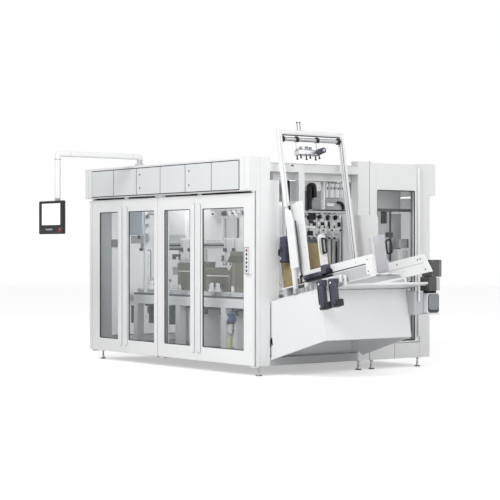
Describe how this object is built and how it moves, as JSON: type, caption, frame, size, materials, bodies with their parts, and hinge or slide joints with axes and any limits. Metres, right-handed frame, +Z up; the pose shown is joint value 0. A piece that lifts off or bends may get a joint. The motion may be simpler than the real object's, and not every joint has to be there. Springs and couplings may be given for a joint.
{
  "type": "fold wrapping machine",
  "caption": "Fold wrapping machine with glazed front doors, flap-panel header, operator panel on a swing boom, and a tilted board-blank magazine with a leaning portal at the infeed end",
  "frame": {"origin": "centre of the underside of the near front foot, at the infeed end", "axes": "+X along the front towards the infeed end, +Y from the front into the machine, +Z up"},
  "size_m": [4.8805, 3.777, 2.6879],
  "materials": {
    "white_coat": "semi-gloss powder coat",
    "grey_coat": "satin powder coat",
    "dark_coat": "matt dark floor coat",
    "steel": "fine brushed",
    "aluminium": "satin anodised profile",
    "chrome": "polished",
    "pane": "clear safety glazing",
    "motor_coat": "blue-grey machine paint",
    "black_plastic": "moulded, fine grain",
    "screen": "lit display under glass",
    "board": "brown corrugated board",
    "clear_plastic": "translucent plastic sheet",
    "rubber": "moulded foot pad"
  },
  "bodies": {
    "machine": {"base_frame": "grey_coat", "frame_posts": "white_coat", "top_frame": "white_coat", "header_boxes": "white_coat", "header_flaps": "white_coat", "levelling_feet": "chrome", "door_pivots": "steel", "end_panels": "white_coat", "left_end_wall": "white_coat", "rear_doors": "white_coat", "fixed_panes": "pane", "boom_pivot": "grey_coat", "machine_bed": "grey_coat", "transport_chains": "steel", "bed_cabinets": "grey_coat", "gearmotors": "motor_coat", "fold_station": "aluminium", "cartons": "board", "infeed_head": "aluminium", "cable_chain": "black_plastic", "magazine_skirt": "white_coat", "magazine_table": "white_coat", "magazine_frame": "white_coat", "magazine_portal": "white_coat", "pickup_unit": "steel", "blank_guides": "white_coat", "clear_guide": "clear_plastic", "guide_handles": "black_plastic", "blank_stack": "board", "guard_sheet": "white_coat", "drive_boxes": "grey_coat"},
    "door_one": {"front_door_1": "white_coat", "front_glass_1": "pane"},
    "door_two": {"front_door_2": "white_coat", "front_glass_2": "pane"},
    "door_three": {"front_door_3": "white_coat", "front_glass_3": "pane"},
    "door_four": {"front_door_4": "white_coat", "front_glass_4": "pane", "button_box": "grey_coat"},
    "end_door": {"side_door": "white_coat", "side_glass": "pane"},
    "boom": {"panel_boom": "white_coat"},
    "panel": {"operator_panel": "black_plastic", "panel_screen": "screen"}
  },
  "joints": [
    {"name": "door_one_hinge", "type": "hinge", "parent": "machine", "child": "door_one", "pos_m": [-3.237, -0.094, 0], "axis": [0, 0, -1], "range_deg": [0, 105]},
    {"name": "door_two_hinge", "type": "hinge", "parent": "machine", "child": "door_two", "pos_m": [-1.825, -0.094, 0], "axis": [0, 0, 1], "range_deg": [0, 85]},
    {"name": "door_three_hinge", "type": "hinge", "parent": "machine", "child": "door_three", "pos_m": [-1.708, -0.094, 0], "axis": [0, 0, -1], "range_deg": [0, 85]},
    {"name": "door_four_hinge", "type": "hinge", "parent": "machine", "child": "door_four", "pos_m": [0.03, -0.094, 0], "axis": [0, 0, 1], "range_deg": [0, 105]},
    {"name": "end_door_hinge", "type": "hinge", "parent": "machine", "child": "end_door", "pos_m": [0.034, 1.512, 0], "axis": [0, 0, -1], "range_deg": [0, 90]},
    {"name": "boom_swing", "type": "hinge", "parent": "machine", "child": "boom", "pos_m": [-2.165, -0.11, 0], "axis": [0, 0, 1], "range_deg": [-60, 60]},
    {"name": "panel_turn", "type": "hinge", "parent": "boom", "child": "panel", "pos_m": [-2.165, -1.19, 0], "axis": [0, 0, 1], "range_deg": [-90, 90]}
  ]
}
